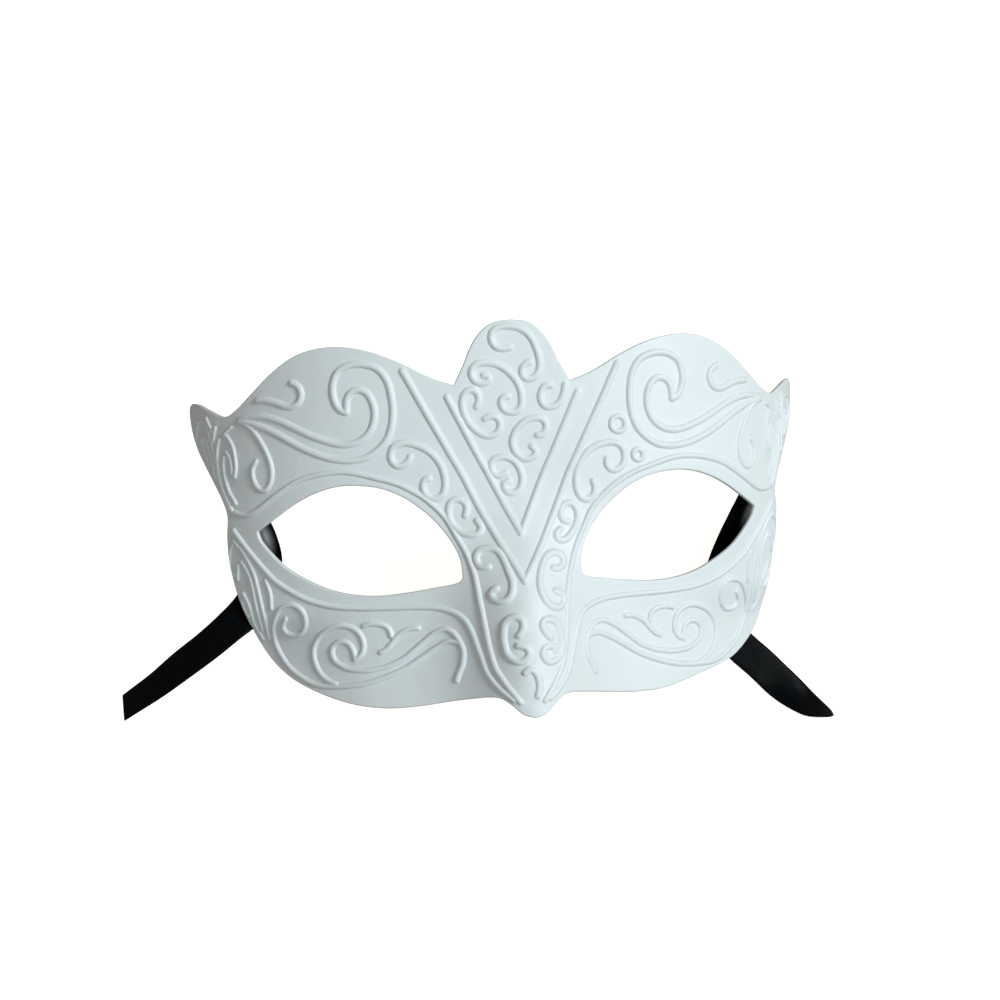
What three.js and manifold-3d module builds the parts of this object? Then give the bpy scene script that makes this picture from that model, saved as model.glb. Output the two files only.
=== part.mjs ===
// A Venetian half mask (a colombina) of moulded plastic, lying on its back: a thin shell
// with two eye holes and raised scroll lines, and a flat satin ribbon at each temple.
// Millimetres, +Z up. +X runs to the mask's left temple as the viewer sees it on the right,
// +Y towards the forehead. The shell rests on its two temple tips and its two lower corners.
//
// The shell is drawn on a flat chart and then wrapped: "across" is the distance around the
// face from the nose line, "up" the height along it, both in millimetres.
import * as THREE from "three";
import { mergeVertices } from "three/addons/utils/BufferGeometryUtils.js";
import Module from "manifold-3d";

// Shell
const wallThickness = 1.4;
const halfArc = 101; // around the face, from the nose line to the temple
const templeTurn = THREE.MathUtils.degToRad(60.5); // how far the face has turned at halfArc
const turnPower = 1.65; // flat in front, turning faster towards the temples
const faceBow = 0.0009; // brow and chin edge stand forward by this times up squared
const noseRise = 12; // crest of the nose over the face beside it
const noseSpread = 15.2; // across where the rise has fallen to a third
const cheekDrop = 8; // how far the cheeks fall back behind the nose
const cheekReach = 35;
const noseRoot = 5; // height where the nose starts to rise
const noseLength = 43; // from its root to where it has its full rise
const cheekLength = 50; // from the nose root to where the cheeks have fallen all the way back
const rightCornerDrop = 3.1; // the lower corners curl back to the surface the mask lies on
const leftCornerDrop = 4.4;
const cornerStart = -28; // height where the curl starts
const cornerLength = 12; // from there to its full depth
const cornerInner = 40; // across where the curl starts
const cornerReach = 35;

// Lying pose
const restTilt = THREE.MathUtils.degToRad(8.1); // between the face and the lying shell
const restFlat = 0.5; // taken off the two tips and two corners, so that each stands on a flat

// Raised lines
const broadLine = { half: 1.05, height: 0.9 };
const fineLine = { half: 0.8, height: 0.7 };

// Mesh
const edgeStep = 2.4;
const lineStep = 2.5;
const tightStep = 1.4; // along a line where it curls
const frontGrid = 6.5;
const backGrid = 7;
const noseGrid = 3.4; // over the crest of the nose
const noseBand = 20; // half the width of the finer grid over the nose
const closestPoints = 0.6;
const gridSpacing = 0.45; // a grid point stays this share of a step off its neighbours
const chartReach = 60; // the chart goes no further up or down than this
const unevenness = 0.012; // keeps four points off one circle, so the triangles are unique

// Ribbons
const ribbonWidth = 10;
const ribbonThickness = 0.35;
const ribbonStep = 3;

// Right half of the outline from the top of the forehead lobe to the temple, in runs that
// meet in corners, then the edge below the temple, the jaw on each side and the nose tip.
const browRuns = [
  [[0, 46.5], [4.5, 45.9], [8, 43.6], [10.8, 39.8], [13, 35], [15.8, 29.7]],
  [[15.8, 29.7], [22, 32], [30, 36.3], [38, 39.7], [46, 41.5], [53, 41.5], [60, 39.8],
    [67, 36], [74, 31], [80, 27], [85, 25.5], [91, 27.6], [97, 29.8], [101.5, 30.6]],
  [[101.5, 30.6], [103.3, 29.4], [103.5, 26.5]],
];
const templeEdge = [
  [103.5, 26.5], [102.3, 22.5], [99.5, 17.5], [95, 12], [91, 7], [87.5, 2], [85.7, -2.5],
  [86.4, -8],
];
const rightJaw = [
  [86.3, -12], [85.8, -16.2], [84.6, -20], [83.3, -24.5], [82, -29.3], [80.9, -32.3],
  [79.5, -35.8], [77.6, -39.6], [74.6, -43.3], [70.2, -46.8], [64.8, -49.9], [58.7, -51.8],
  [51.1, -53.4], [44.1, -55], [37.6, -56], [31.4, -56], [25.5, -55.5], [18.5, -54.4],
  [12, -53.3],
];
// The left jaw curls under a little further. It is written as on the right.
const leftJaw = [
  [86.3, -14], [85, -20.5], [82.7, -27], [79.5, -33.2], [75.6, -39.4], [70.6, -45],
  [64.3, -49.4], [56, -52.9], [47, -55.4], [38, -56.4], [29, -55.9], [20, -54.5], [12, -53.3],
];
const noseEdge = [
  [12, -53.3], [9.3, -53.3], [7.6, -54], [5.7, -55.4], [4.4, -56.6], [2.9, -57.7], [0, -58.5],
];

// Right eye hole: its upper edge from the inner to the outer corner, then back below.
const eyeRuns = [
  [[16.3, -21.8], [16.6, -17], [18.6, -12.2], [22, -7.3], [26, -3.3], [31, 0.4], [37, 3],
    [44, 4.1], [50, 3.9], [56, 2.4], [62, -0.2], [68, -3.6], [74.3, -7.2]],
  [[74.3, -7.2], [73.2, -9.8], [70, -13.3], [65, -17.6], [59, -21], [52, -24], [45, -25.6],
    [38, -26], [30, -25.3], [23, -24.2], [17.6, -23.2], [16.3, -21.8]],
];

// Broad lines that both sides share, as the right side has them.
const sharedLines = {
  outerV: [[29.3, 34.3], [18.6, 14.2], [9.6, -5.3], [0, -22.6]],
  innerV: [[17.7, 26.8], [10, 10.1], [0, -10.8]],
  browScrollOuter: [[79, 23.6], [74, 21.8], [67, 19], [60, 15], [53, 11.5], [46, 10.5],
    [38, 12.8], [33.5, 18.5], [32, 25.5], [34.5, 33], [41, 36.6], [47, 34.5], [49.2, 29],
    [46.1, 23.3]],
  browScrollInner: [[79, 24], [71, 24.8], [64, 22.9], [57, 19.2], [50, 16], [44, 15.8],
    [39.3, 19.3], [37.5, 25], [40.5, 29.8], [44.3, 28.5], [45.5, 23.6]],
  browHook: [[61, 33], [58.5, 32.2], [57.8, 29.2], [60.5, 26.4], [66, 27.8], [73, 29.2]],
  templeCurl: [[79.5, 23.9], [75, 21.2], [70.5, 16.3], [68.6, 10], [70.4, 4.9], [73.8, 5],
    [75.7, 8.6], [74, 12]],
  eyeLine: [[82, -2.5], [77, -1.9], [70, 1.7], [62, 5.8], [54, 8], [46, 8.1], [38, 6],
    [30, 2.7], [22, -3], [16.5, -10.5], [14, -18.5], [12.5, -28], [11.3, -38], [9.5, -46],
    [6.3, -51.5], [3, -54.7]],
  cheekLine: [[83, -6.4], [76, -14], [68, -21.5], [60, -26.3], [51, -28.8], [40, -29.3],
    [29, -28.9], [21.5, -30.4], [16.5, -34], [14, -40], [11.8, -46.5], [8, -51.5],
    [4.5, -53.8]],
  leafStem: [[18.9, -49.5], [17.2, -45], [17, -40.5], [19, -36.6], [22.3, -35.5],
    [26.5, -38], [32, -42.6], [39, -45.4], [47, -46.5], [52, -44], [52.6, -39.8],
    [49.3, -38.2], [46.2, -40.5], [46.5, -43]],
  cheekScroll: [[46.3, -43.2], [43.4, -39.2], [44.8, -35], [49.5, -33.3], [55, -35.2],
    [58.4, -40.5], [57, -45.5], [52.3, -50.2]],
  jawScroll: [[18.5, -38.8], [22.5, -39], [28, -42.5], [34, -46], [41, -49], [49, -50.7],
    [57, -50.4], [64, -47], [69, -41.5], [70.8, -35], [68, -29.2], [64, -27.9],
    [60.5, -30.6], [60.7, -35], [64.3, -37.1], [67.6, -34.8], [66.6, -32.4]],
  sproutLow: [[28.4, -35.1], [32.5, -35.3], [36, -38.4], [39.8, -41.7]],
  sproutHigh: [[36.3, -37.9], [36.4, -34.8], [39.9, -33.2], [44.2, -34]],
};

// Fine lines of the two temple fans, which both sides share.
const fineLines = [
  [[81.6, 22.4], [84.9, 20.5], [81.6, 16.7], [80.5, 11.5], [81.1, 8.5]],
  [[84.7, 15.7], [82.8, 13], [82.4, 9.4]],
  [[85.3, 14.4], [85.6, 10], [83.8, 4.2], [81.5, 1.3]],
  [[87.2, 18.5], [88.2, 13.5], [86.8, 6.2], [82.7, -1.7]],
  [[96.9, 25.5], [93.1, 22.3], [90.2, 15.2], [88.6, 7.3], [84.3, -1.2]],
  [[98.1, 24.5], [99.5, 21], [96.6, 15.1]],
  [[95.2, 20.7], [91.9, 16.1], [89.9, 9.4]],
  [[96.4, 19.4], [95.8, 16.8], [93.7, 13.8]],
  [[92.8, 25.7], [90.3, 21.7]],
  [[88.5, 22.8], [89.9, 18.8]],
  [[83.3, -9.4], [79.8, -12.5], [76.3, -18.6], [74.3, -27], [72.3, -37.4]],
  [[80.6, -15.2], [77.7, -19.9], [76.2, -27.2], [74.5, -34.9]],
  [[80.8, -24.3], [78.7, -27.8], [77.3, -32.8], [74.5, -37.5]],
  [[81.8, -26.4], [80.9, -29], [79, -30.9]],
  [[82, -16.1], [82.7, -20.2]],
  [[72.3, -20.6], [70.9, -24.5], [70.9, -28.6]],
  [[83.3, -10.3], [84.6, -11.2], [85.5, -13.1], [85.8, -15.8], [85.4, -17.8], [83.9, -19.3]],
];

// Lines of the viewer's left side alone, written as on the right.
const leftLines = [
  [[28, 10.4], [29.8, 8.4], [32.5, 7.9], [34.2, 11], [31.5, 14.4], [26.5, 13.9],
    [20.8, 9.6], [18.7, 4], [20.4, -0.5], [24, -0.9], [25.4, 2], [23.8, 4.6]],
  [[14.8, -5.2], [13.3, -3.2], [14.8, -0.9], [18, -1.2], [19.5, -4.6], [17.3, -9],
    [13, -11.6], [10, -10], [10.7, -6.9]],
  [[9.5, -19.6], [12, -18.6], [12.5, -16.1], [9.4, -13.9], [5.6, -15.6], [3.5, -20.8],
    [3.6, -26.2], [6.6, -29], [9.4, -27.3], [8, -25.2]],
  [[3, -37.8], [1.6, -34.8], [3.7, -32.5], [6.2, -34.6], [7, -38.6], [5.4, -43.3],
    [2.6, -44.1], [0.9, -42.2], [2.9, -40.7]],
];

// Lines of the viewer's right side alone.
const rightLines = [
  [[20.9, 2.2], [22, -0.2], [20, -3.3], [16.9, -1.7], [15.7, 3.6], [18, 9], [23.4, 12.2],
    [28, 12.6], [30, 9], [28.6, 5.3], [25.6, 5.2], [24.9, 8.2]],
  [[13.8, -8.9], [11.6, -6.4], [12.3, -3.5], [15, -2.9], [16.7, -5.8], [15.2, -10.6],
    [11.4, -13.9], [9.6, -12], [10.8, -9.9]],
  [[9.6, -20.8], [12.3, -19.7], [12, -16.8], [9, -15.5], [5.4, -17.3], [3.4, -22.8],
    [4.3, -27.8], [8.2, -31], [10.4, -28.9], [7.8, -26.4]],
  [[6.4, -38.5], [4.4, -35.4], [6.5, -33.4], [9, -35.9], [9.3, -41.5], [7.3, -45],
    [4.4, -43.9], [4.8, -41], [7.2, -42.4]],
];

// Small rings, right side only: across, up, radius.
const rings = [[29, 17.4, 2], [34.1, 8.4, 1.5]];

// The curls inside the V and the hook at the nose tip; across is negative on the left.
const panelLines = [
  [[-0.4, 38.9], [-3, 38.5], [-5, 40.6], [-4.6, 43.4], [-1.5, 45], [3, 43.8], [6.8, 40],
    [8.2, 35], [6.3, 30.9], [3.6, 30.6], [3, 33], [5.3, 34.9]],
  [[-8.4, 31], [-6.3, 31.9], [-5.4, 30.7], [-8.4, 29.3], [-10.9, 31.6], [-9.6, 34.8],
    [-5.5, 35.2], [-0.8, 32.3], [2.1, 27.8], [1.6, 22.8], [-1.2, 21.7], [-3.1, 24],
    [-1.3, 26.3]],
  [[-9.3, 23.5], [-9.3, 26.6], [-11.4, 28], [-13.7, 25.6], [-12.4, 20], [-8.6, 15.9],
    [-4.9, 15.5], [-3.2, 18.2], [-5.2, 20.6], [-8, 19.8]],
  [[10.4, 29], [8.5, 28.5], [7.5, 25.2], [9.6, 22.5], [12.4, 23.3], [14.2, 27.2],
    [14.8, 29]],
  [[6.4, 14.9], [8.9, 16.2], [9.2, 19.2], [6, 20.5], [1.4, 18.3], [-0.5, 13.7],
    [2, 9.3], [5.3, 9.3], [5.7, 11.6], [4.2, 12.5]],
  [[-3.3, 5.4], [-5.9, 4.7], [-7.1, 7.6], [-4.6, 10.4], [-0.3, 9.1], [2, 4.6],
    [0.6, 0], [-2.6, -0.1], [-3.5, 2.4], [-1.2, 3.2]],
  [[-1.7, -46.4], [0.6, -46.8], [2.3, -49.6], [1.5, -53]],
];

// Ribbon routes: x, y, z of the middle of the ribbon and how far it is rolled about its own
// length, in degrees. Each starts flat against the inside of its temple, comes down to the
// surface the mask lies on and runs out under the edge of the shell.
const leftRibbonRoute = [
  [-78.1, 26.5, 10.6, 44], [-76.6, 20.9, 11, 43], [-75.1, 15.6, 10.6, 41],
  [-73.5, 10.6, 9.5, 37], [-71.9, 6, 7.8, 31], [-70.4, 1.2, 5.7, 22], [-69.7, -3.8, 3.6, 12],
  [-70.5, -9, 1.8, 4], [-72.8, -14.2, 0.7, 0], [-76.4, -18.6, 0.3, 0], [-80.8, -22.1, 0.3, 0],
  [-87, -26.8, 0.4, 1], [-94, -31.7, 1.1, 9], [-101.5, -37, 2.4, 25],
  [-110.1, -43.1, 4.2, 46],
];
const rightRibbonRoute = [
  [77.7, 27, 11.1, -44], [76.3, 21.5, 11.4, -43], [74.9, 16, 11.1, -42],
  [73.2, 10.6, 10.2, -40], [71.2, 5.4, 8.9, -36], [69, 0.4, 7.1, -28], [66.6, -5.4, 4.8, -17],
  [64, -12, 2.6, -7], [62.4, -17.4, 1.3, -2], [61.9, -22.3, 0.6, 0], [62.4, -27.2, 0.3, 0],
  [63.9, -32, 0.3, 0], [66.7, -36.4, 0.3, 0], [72.4, -43, 0.4, 0], [77.6, -48.8, 1.2, -10],
  [83.6, -54, 3.1, -34], [90.2, -57.7, 4.6, -60],
];
const leftEndSlant = 2.4; // one edge of the ribbon runs this far past the middle of its end
const rightEndSlant = 1;

const maskPlastic = new THREE.MeshStandardMaterial({
  color: 0xdfe5e5,
  roughness: 0.55,
  metalness: 0,
  side: THREE.FrontSide,
});
const blackSatin = new THREE.MeshStandardMaterial({
  color: 0x0b0c0f,
  roughness: 0.35,
  metalness: 0,
});

function smoothStep(value) {
  return THREE.MathUtils.smoothstep(value, 0, 1);
}

// Where the flat chart's across lands when the face is wrapped round: sideways and back.
function wrapRound(across) {
  const steps = 24;
  const length = Math.abs(across);
  let sideways = 0;
  let back = 0;
  for (let i = 0; i < steps; i++) {
    const along = (length * (i + 0.5)) / steps;
    const turn = templeTurn * (along / halfArc) ** turnPower;
    sideways += (Math.cos(turn) * length) / steps;
    back += (Math.sin(turn) * length) / steps;
  }
  return [Math.sign(across) * sideways, back];
}

function facePoint(across, up) {
  const [sideways, back] = wrapRound(across);
  const risen = smoothStep((noseRoot - up) / noseLength);
  const crest = Math.exp(-((across / noseSpread) ** 2));
  const fallen = smoothStep((noseRoot - up) / cheekLength);
  const beside = 1 - Math.exp(-((across / cheekReach) ** 2));
  const corner = smoothStep((cornerStart - up) / cornerLength)
    * smoothStep((Math.abs(across) - cornerInner) / cornerReach);
  const cornerDrop = across > 0 ? rightCornerDrop : leftCornerDrop;
  const depth = faceBow * up * up - back + risen * noseRise * crest - fallen * cheekDrop * beside
    - corner * cornerDrop;
  return new THREE.Vector3(sideways, up, depth);
}

function faceNormal(across, up) {
  const small = 0.05;
  const alongAcross = facePoint(across + small, up).sub(facePoint(across - small, up));
  const alongUp = facePoint(across, up + small).sub(facePoint(across, up - small));
  return alongAcross.cross(alongUp).normalize();
}

// The same point of the shell in the lying pose, before it is set down on the surface.
function lyingPoint(across, up, lift) {
  const point = facePoint(across, up).addScaledVector(faceNormal(across, up), lift);
  return point.applyAxisAngle(new THREE.Vector3(1, 0, 0), restTilt);
}

function splineThrough(points) {
  return new THREE.SplineCurve(points.map(([x, y]) => new THREE.Vector2(x, y)));
}

function evenPoints(points, step) {
  const curve = splineThrough(points);
  return curve.getSpacedPoints(Math.max(2, Math.round(curve.getLength() / step)));
}

function mirrored(points) {
  return points.map(([across, ...rest]) => [-across, ...rest]);
}

// A closed loop from runs of points that meet in corners.
function loopFromRuns(runs, step) {
  return runs.flatMap((run) => evenPoints(run, step).slice(0, -1));
}

function outlineRuns(jaw) {
  return [...browRuns, [...templeEdge, ...jaw], noseEdge];
}

function maskOutline() {
  const right = loopFromRuns(outlineRuns(rightJaw), edgeStep);
  const leftRuns = outlineRuns(leftJaw).map(mirrored).map((run) => run.toReversed());
  return [...right, ...loopFromRuns(leftRuns.toReversed(), edgeStep)];
}

function eyeHoles() {
  return [loopFromRuns(eyeRuns, edgeStep), loopFromRuns(eyeRuns.map(mirrored), edgeStep)];
}

function ringPoints([across, up, radius]) {
  const corners = 8;
  return Array.from({ length: corners + 1 }, (_, i) => {
    const angle = (2 * Math.PI * i) / corners;
    return [across + radius * Math.cos(angle), up + radius * Math.sin(angle)];
  });
}

// Every raised line as closely spaced points along its middle, with its section.
function raisedLines() {
  const shared = Object.values(sharedLines);
  const broad = [
    ...shared, ...shared.map(mirrored), ...leftLines.map(mirrored), ...rightLines,
    ...panelLines, ...rings.map(ringPoints),
  ];
  const fine = [...fineLines, ...fineLines.map(mirrored)];
  return [
    ...broad.map((points) => ({ curve: splineThrough(points), ...broadLine })),
    ...fine.map((points) => ({ curve: splineThrough(points), ...fineLine })),
  ].map((line) => {
    const traceStep = 0.5;
    const count = Math.ceil(line.curve.getLength() / traceStep);
    return { ...line, trace: line.curve.getSpacedPoints(count) };
  });
}

function reliefHeight(point, lines) {
  let height = 0;
  for (const line of lines) {
    let nearest = Infinity;
    for (const other of line.trace) {
      nearest = Math.min(nearest, point.distanceToSquared(other));
    }
    const share = 1 - nearest / (line.half * line.half);
    height = Math.max(height, line.height * share);
  }
  return height;
}

// Stations along a line, closer together where it curls.
function stationsOf(line) {
  const stations = [];
  const last = line.trace.length - 1;
  let gone = Infinity;
  for (let i = 0; i <= last; i++) {
    const before = line.trace[Math.max(0, i - 2)];
    const after = line.trace[Math.min(last, i + 2)];
    const along = after.clone().sub(before).normalize();
    const previous = stations.at(-1);
    const turned = previous ? Math.abs(along.cross(previous.along)) : 0;
    if (previous) {
      gone = previous.at.distanceTo(line.trace[i]);
    }
    const sharpTurn = 0.5;
    if (gone >= lineStep || (gone >= tightStep && turned > sharpTurn) || i === last) {
      stations.push({ at: line.trace[i], along });
    }
  }
  return stations;
}

// A set of chart points that keeps newcomers off the points it already holds.
class SpacedPoints {
  constructor(loops) {
    this.points = [];
    this.loops = loops;
    for (const loop of loops) {
      this.points.push(...loop);
    }
  }

  add(point, spacing) {
    const wobble = this.points.length;
    const shifted = new THREE.Vector2(
      point.x + unevenness * Math.sin(12.9 * wobble),
      point.y + unevenness * Math.cos(7.3 * wobble),
    );
    const inside = insideLoops(shifted, this.loops) && !this.crowdsAnEdge(shifted);
    const reach = spacing * spacing;
    if (inside && this.points.every((other) => other.distanceToSquared(shifted) > reach)) {
      this.points.push(shifted);
    }
  }

  // True inside the circle over any edge of the loops, where a point would break that edge.
  crowdsAnEdge(point) {
    const margin = 1.04;
    return this.loops.some((loop) => loop.some((start, i) => {
      const end = loop[(i + 1) % loop.length];
      const middle = start.clone().add(end).multiplyScalar(0.5);
      return middle.distanceTo(point) < (margin * start.distanceTo(end)) / 2;
    }));
  }
}

function insideLoop(point, loop) {
  let inside = false;
  for (let i = 0, j = loop.length - 1; i < loop.length; j = i++) {
    const a = loop[i];
    const b = loop[j];
    if (a.y > point.y !== b.y > point.y) {
      const crossing = a.x + ((point.y - a.y) / (b.y - a.y)) * (b.x - a.x);
      inside = inside !== point.x < crossing;
    }
  }
  return inside;
}

function insideLoops(point, [outline, ...holes]) {
  return insideLoop(point, outline) && !holes.some((hole) => insideLoop(point, hole));
}

// Delaunay triangles of the points, by inserting them one at a time.
function triangulate(points) {
  const far = 1000;
  const all = [
    ...points, new THREE.Vector2(-far, -far), new THREE.Vector2(far, -far),
    new THREE.Vector2(0, far),
  ];
  const count = points.length;
  const withCircle = (a, b, c) => {
    const [p, q, r] = [all[a], all[b], all[c]];
    const bx = q.x - p.x;
    const by = q.y - p.y;
    const cx = r.x - p.x;
    const cy = r.y - p.y;
    const twice = 2 * (bx * cy - by * cx);
    const bb = bx * bx + by * by;
    const cc = cx * cx + cy * cy;
    const ux = (cy * bb - by * cc) / twice;
    const uy = (bx * cc - cx * bb) / twice;
    return { a, b, c, x: p.x + ux, y: p.y + uy, reach: ux * ux + uy * uy };
  };
  let triangles = [withCircle(count, count + 1, count + 2)];
  for (let i = 0; i < count; i++) {
    const { x, y } = all[i];
    const kept = [];
    const rim = new Map();
    for (const triangle of triangles) {
      const away = (triangle.x - x) ** 2 + (triangle.y - y) ** 2;
      if (away >= triangle.reach) {
        kept.push(triangle);
        continue;
      }
      const { a, b, c } = triangle;
      for (const [from, to] of [[a, b], [b, c], [c, a]]) {
        const twin = `${to}_${from}`;
        if (rim.has(twin)) {
          rim.delete(twin);
        } else {
          rim.set(`${from}_${to}`, [from, to]);
        }
      }
    }
    for (const [from, to] of rim.values()) {
      kept.push(withCircle(from, to, i));
    }
    triangles = kept;
  }
  return triangles.filter(({ a, b, c }) => Math.max(a, b, c) < count);
}

// The triangles of a loop-bounded sheet, as index triples that turn anticlockwise.
function sheetTriangles(points, loops) {
  return triangulate(points)
    .filter(({ a, b, c }) => {
      const middle = points[a].clone().add(points[b]).add(points[c]).divideScalar(3);
      return insideLoops(middle, loops);
    })
    .map(({ a, b, c }) => {
      const turn = points[b].clone().sub(points[a]).cross(points[c].clone().sub(points[a]));
      return turn > 0 ? [a, b, c] : [a, c, b];
    });
}

// Rows of points over the whole chart, each row shifted by half a step from the last.
function fillWithGrid(spaced, step, halfWidth, top) {
  const rowHeight = step * Math.sqrt(0.75);
  const lowest = -Math.ceil(chartReach / rowHeight);
  for (let row = lowest; row * rowHeight < top; row++) {
    const shift = row % 2 ? step / 2 : 0;
    const steps = Math.floor(halfWidth / step);
    for (let column = -steps; column <= steps; column++) {
      const at = new THREE.Vector2(column * step + shift, row * rowHeight);
      spaced.add(at, gridSpacing * step);
    }
  }
}

function maskShell() {
  const loops = [maskOutline(), ...eyeHoles()];
  const lines = raisedLines();

  const front = new SpacedPoints(loops);
  const sides = [];
  for (const line of lines) {
    for (const { at, along } of stationsOf(line)) {
      front.add(at, closestPoints);
      const across = new THREE.Vector2(-along.y, along.x).multiplyScalar(line.half);
      sides.push(at.clone().add(across), at.clone().sub(across));
    }
  }
  for (const side of sides) {
    front.add(side, closestPoints);
  }
  fillWithGrid(front, noseGrid, noseBand, noseRoot);
  fillWithGrid(front, frontGrid, halfArc, chartReach);

  const back = new SpacedPoints(loops);
  fillWithGrid(back, noseGrid, noseBand, noseRoot);
  fillWithGrid(back, backGrid, halfArc, chartReach);

  const places = [
    ...front.points.map((p) => lyingPoint(p.x, p.y, reliefHeight(p, lines))),
    ...back.points.map((p) => lyingPoint(p.x, p.y, -wallThickness)),
  ];
  const offset = front.points.length;
  const faces = [
    ...sheetTriangles(front.points, loops),
    ...sheetTriangles(back.points, loops).map(([a, b, c]) => [a + offset, c + offset, b + offset]),
  ];
  let first = 0;
  for (const loop of loops) {
    const forward = THREE.ShapeUtils.area(loop) > 0 === (first === 0);
    for (let i = 0; i < loop.length; i++) {
      const here = first + (forward ? i : (i + 1) % loop.length);
      const next = first + (forward ? (i + 1) % loop.length : i);
      faces.push([here, here + offset, next], [next, here + offset, next + offset]);
    }
    first += loop.length;
  }
  return setDown(places, faces);
}

// Lowers the shell so that z = 0 takes restFlat off its lowest places, cuts it off there and
// centres it on the origin.
function setDown(places, faces) {
  const box = new THREE.Box3().setFromPoints(places);
  const middle = (box.min.y + box.max.y) / 2;
  for (const place of places) {
    place.y -= middle;
    place.z -= box.min.z + restFlat;
  }
  const geometry = new THREE.BufferGeometry().setFromPoints(places);
  geometry.setIndex(faces.flat());
  const deep = 10;
  const below = new THREE.BoxGeometry(4 * halfArc, 4 * halfArc, deep);
  below.translate(0, 0, -deep / 2);
  return geometryOf(solidOf(geometry).subtract(solidOf(below)));
}

function solidOf(geometry) {
  const bare = new THREE.BufferGeometry();
  bare.setAttribute("position", geometry.getAttribute("position"));
  bare.setIndex(geometry.index);
  const merged = mergeVertices(bare);
  return new wasm.Manifold(new wasm.Mesh({
    numProp: 3,
    vertProperties: merged.attributes.position.array,
    triVerts: new Uint32Array(merged.index.array),
  }));
}

function geometryOf(solid) {
  const { vertProperties, triVerts } = solid.getMesh();
  const geometry = new THREE.BufferGeometry();
  geometry.setAttribute("position", new THREE.BufferAttribute(vertProperties, 3));
  geometry.setIndex(new THREE.BufferAttribute(triVerts, 1));
  geometry.computeVertexNormals();
  return geometry;
}

// A flat ribbon along a route, rolled about its own length and cut off at a slant.
function ribbonStrip(route, endSlant) {
  const middle = new THREE.CatmullRomCurve3(
    route.map(([x, y, z]) => new THREE.Vector3(x, y, z)), false, "centripetal",
  );
  const rolls = new THREE.CatmullRomCurve3(
    route.map(([x, y, , roll]) => new THREE.Vector3(x, y, roll)), false, "centripetal",
  );
  const count = Math.round(middle.getLength() / ribbonStep);
  const places = [];
  const faces = [];
  for (let i = 0; i <= count; i++) {
    const share = middle.getUtoTmapping(i / count);
    const centre = middle.getPoint(share);
    const along = middle.getTangent(share);
    const roll = THREE.MathUtils.degToRad(rolls.getPoint(share).z);
    const level = new THREE.Vector3(-along.y, along.x, 0).normalize();
    const sideways = level.applyAxisAngle(along, roll);
    const through = along.clone().cross(sideways);
    const past = i === count ? endSlant : 0;
    for (const [side, face] of [[-1, -1], [1, -1], [1, 1], [-1, 1]]) {
      places.push(centre.clone()
        .addScaledVector(along, side * past)
        .addScaledVector(sideways, (side * ribbonWidth) / 2)
        .addScaledVector(through, (face * ribbonThickness) / 2));
    }
    if (i > 0) {
      for (let k = 0; k < 4; k++) {
        const [a, b] = [4 * i + k, 4 * i + ((k + 1) % 4)];
        faces.push([a - 4, b - 4, a], [b - 4, b, a]);
      }
    }
  }
  const end = 4 * count;
  faces.push([0, 2, 1], [0, 3, 2], [end, end + 1, end + 2], [end, end + 2, end + 3]);
  const geometry = new THREE.BufferGeometry().setFromPoints(places);
  geometry.setIndex(faces.flat());
  geometry.computeVertexNormals();
  return geometry;
}

function namedMesh(name, geometry, material) {
  const mesh = new THREE.Mesh(geometry, material);
  mesh.name = name;
  return mesh;
}

const wasm = await Module();
wasm.setup();

const mask = new THREE.Group();
mask.add(namedMesh("mask_shell", maskShell(), maskPlastic));
mask.add(namedMesh("left_ribbon", ribbonStrip(leftRibbonRoute, leftEndSlant), blackSatin));
mask.add(namedMesh("right_ribbon", ribbonStrip(rightRibbonRoute, rightEndSlant), blackSatin));

export default mask;
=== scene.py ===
import math

import bpy
import numpy as np
from mathutils import Matrix, Vector, geometry


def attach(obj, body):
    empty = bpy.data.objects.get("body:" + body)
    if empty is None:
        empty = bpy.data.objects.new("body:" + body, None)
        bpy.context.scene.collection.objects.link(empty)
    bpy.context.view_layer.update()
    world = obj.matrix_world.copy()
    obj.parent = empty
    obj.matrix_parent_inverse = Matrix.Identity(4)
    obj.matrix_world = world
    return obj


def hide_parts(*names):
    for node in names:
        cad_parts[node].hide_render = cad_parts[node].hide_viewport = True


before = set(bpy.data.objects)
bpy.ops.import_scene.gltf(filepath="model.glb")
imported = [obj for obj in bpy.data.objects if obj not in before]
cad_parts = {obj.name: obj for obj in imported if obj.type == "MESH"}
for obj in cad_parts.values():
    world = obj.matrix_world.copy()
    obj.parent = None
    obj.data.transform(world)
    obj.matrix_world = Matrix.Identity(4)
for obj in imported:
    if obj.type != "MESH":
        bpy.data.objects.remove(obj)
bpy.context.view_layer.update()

MILLIMETRE = 0.001

# Shell, the same sizes as the solids
WALL = 1.4
HALF_ARC = 101  # around the face, from the nose line to the temple
TEMPLE_TURN = math.radians(60.5)  # how far the face has turned at HALF_ARC
TURN_POWER = 1.65
FACE_BOW = 0.0009
LOWER_START = 5  # below this height the nose rises and the cheeks fall away
NOSE_RISE = 12
NOSE_SPREAD = 15.2
NOSE_LENGTH = 43
CHEEK_DROP = 8
CHEEK_REACH = 35
CHEEK_LENGTH = 50
LEFT_CORNER_DROP = 4.4
RIGHT_CORNER_DROP = 3.1
CORNER_START = -28
CORNER_LENGTH = 12
CORNER_INNER = 40
CORNER_REACH = 35
REST_TILT = math.radians(8.1)
REST_FLAT = 0.5

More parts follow.
